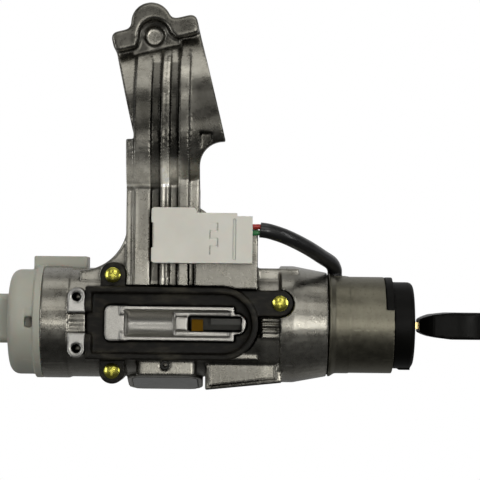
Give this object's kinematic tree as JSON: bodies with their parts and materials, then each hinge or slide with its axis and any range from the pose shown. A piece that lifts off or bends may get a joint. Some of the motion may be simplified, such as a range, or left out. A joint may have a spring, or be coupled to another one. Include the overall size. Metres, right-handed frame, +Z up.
{
  "type": "ignition switch with steering lock",
  "caption": "Steering lock with key barrel, key, ignition switch, interlock guide and lead connector, held to the steering column by a cast saddle arm.",
  "frame": {"origin": "middle of the column saddle, on the steering column's axis", "axes": "+X along the key's axis towards the key, +Y away from the interlock guide, +Z up the clamp arm"},
  "size_m": [0.2133, 0.0613, 0.1579],
  "materials": {
    "cast_metal": "satin",
    "sleeve_metal": "satin",
    "cover_plate": "satin",
    "black_plastic": "matte",
    "bezel_plastic": "satin",
    "key_plastic": "satin",
    "key_brass": "satin",
    "yellow_zinc": "gloss",
    "steel": "satin",
    "spring_steel": "gloss",
    "stop_brass": "satin",
    "wafer_brass": "satin",
    "switch_white": "satin",
    "contact_board": "matte",
    "terminal_brass": "satin",
    "connector_white": "satin",
    "red_wire": "gloss",
    "green_wire": "gloss",
    "sleeve_black": "gloss"
  },
  "bodies": {
    "lock_body": {"lock_housing": "cast_metal", "barrel_sleeve": "sleeve_metal", "bolt_chamber_cover": "cover_plate", "guide_cover": "black_plastic", "bezel": "bezel_plastic", "reminder_switch": "bezel_plastic", "cover_screws": "yellow_zinc", "cover_pin": "steel", "interlock_bar": "steel", "bolt_spring": "spring_steel", "return_spring": "spring_steel", "switch_case": "switch_white", "reminder_plunger": "switch_white", "contact_plate": "contact_board", "end_terminals": "terminal_brass", "top_terminals": "terminal_brass", "connector_terminals": "terminal_brass", "connector_housing": "connector_white", "connector_retainer": "connector_white", "wire_red": "red_wire", "wire_green": "green_wire", "wire_sleeve": "sleeve_black"},
    "key_rotor": {"key_plug": "sleeve_metal", "plug_clip": "steel", "wafer_1": "wafer_brass", "wafer_2": "wafer_brass", "wafer_3": "wafer_brass", "wafer_4": "wafer_brass", "wafer_5": "wafer_brass", "wafer_6": "wafer_brass", "wafer_7": "wafer_brass", "wafer_8": "wafer_brass", "wafer_springs": "spring_steel", "cam_shaft": "sleeve_metal", "switch_spindle": "sleeve_metal", "switch_rotor": "switch_white", "bridge_contacts": "terminal_brass", "detent_ball": "steel", "detent_spring": "spring_steel"},
    "key": {"key_blade": "key_brass", "key_head": "key_plastic"},
    "steering_bolt": {"lock_bolt": "steel"},
    "brass_stop": {"interlock_stop": "stop_brass"}
  },
  "joints": [
    {"name": "lock_turn", "type": "hinge", "parent": "lock_body", "child": "key_rotor", "pos_m": [-0.0035, 0, -0.079], "axis": [-1, 0, 0], "range_deg": [-50, 70]},
    {"name": "key_pull", "type": "slide", "parent": "key_rotor", "child": "key", "axis": [1, 0, 0], "range_m": [0, 0.045]},
    {"name": "bolt_slide", "type": "slide", "parent": "lock_body", "child": "steering_bolt", "axis": [0, 0, 1], "range_m": [-0.0084, 0.006], "deforming": ["bolt_spring"]},
    {"name": "stop_slide", "type": "slide", "parent": "lock_body", "child": "brass_stop", "axis": [1, 0, 0], "range_m": [0, 0.0028]}
  ],
  "couplings": [
    {"joint": "bolt_slide", "follows": "lock_turn", "m_per_rad": -0.0068}
  ]
}
